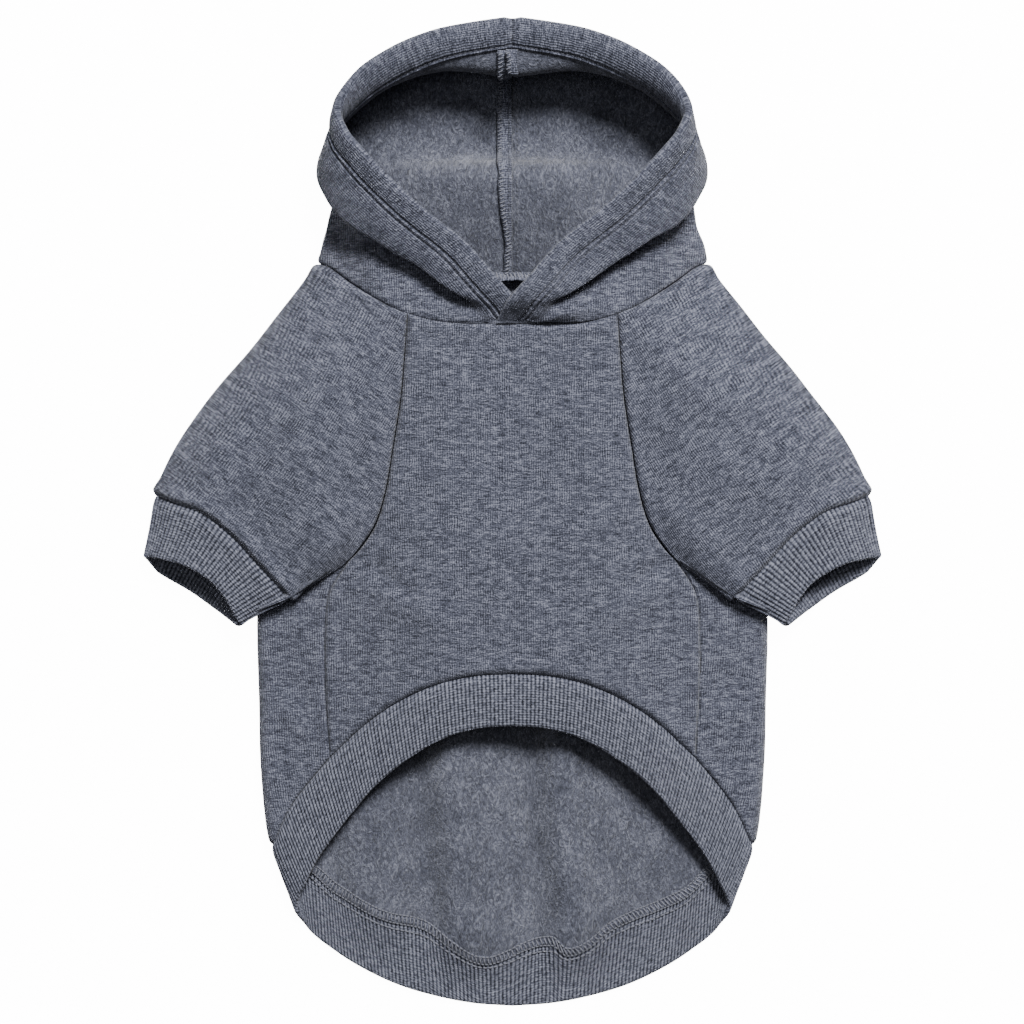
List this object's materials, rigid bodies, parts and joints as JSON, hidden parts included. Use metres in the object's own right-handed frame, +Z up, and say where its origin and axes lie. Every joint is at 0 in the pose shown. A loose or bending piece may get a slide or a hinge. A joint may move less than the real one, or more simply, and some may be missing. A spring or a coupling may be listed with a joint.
{
  "type": "dog hoodie",
  "caption": "Short-sleeved dog hoodie laid flat on its back: hood with a crossed front, raglan sleeves with ribbed cuffs, and a belly hem cut high in an arch.",
  "frame": {"origin": "middle of the footprint, on the floor that the hoodie lies on", "axes": "+Z up off the floor, out of the belly side; +Y from the hem towards the hood; +X to the right as seen from above with the hood at the top"},
  "size_m": [0.3148, 0.4168, 0.0391],
  "materials": {
    "sweatshirt_cloth": "blue-grey heather knit, brushed inside",
    "rib_knit": "blue-grey heather one-by-one rib, doubled",
    "overlocked_edge": "blue-grey overlocked cloth edge"
  },
  "bodies": {
    "root": {"belly_panel": "sweatshirt_cloth", "back_panel": "sweatshirt_cloth", "hem_band": "rib_knit", "sleeve_right": "sweatshirt_cloth", "sleeve_left": "sweatshirt_cloth", "cuff_right": "rib_knit", "cuff_left": "rib_knit", "hood_right": "sweatshirt_cloth", "hood_left": "sweatshirt_cloth", "hood_seam_allowance": "overlocked_edge"}
  },
  "joints": []
}
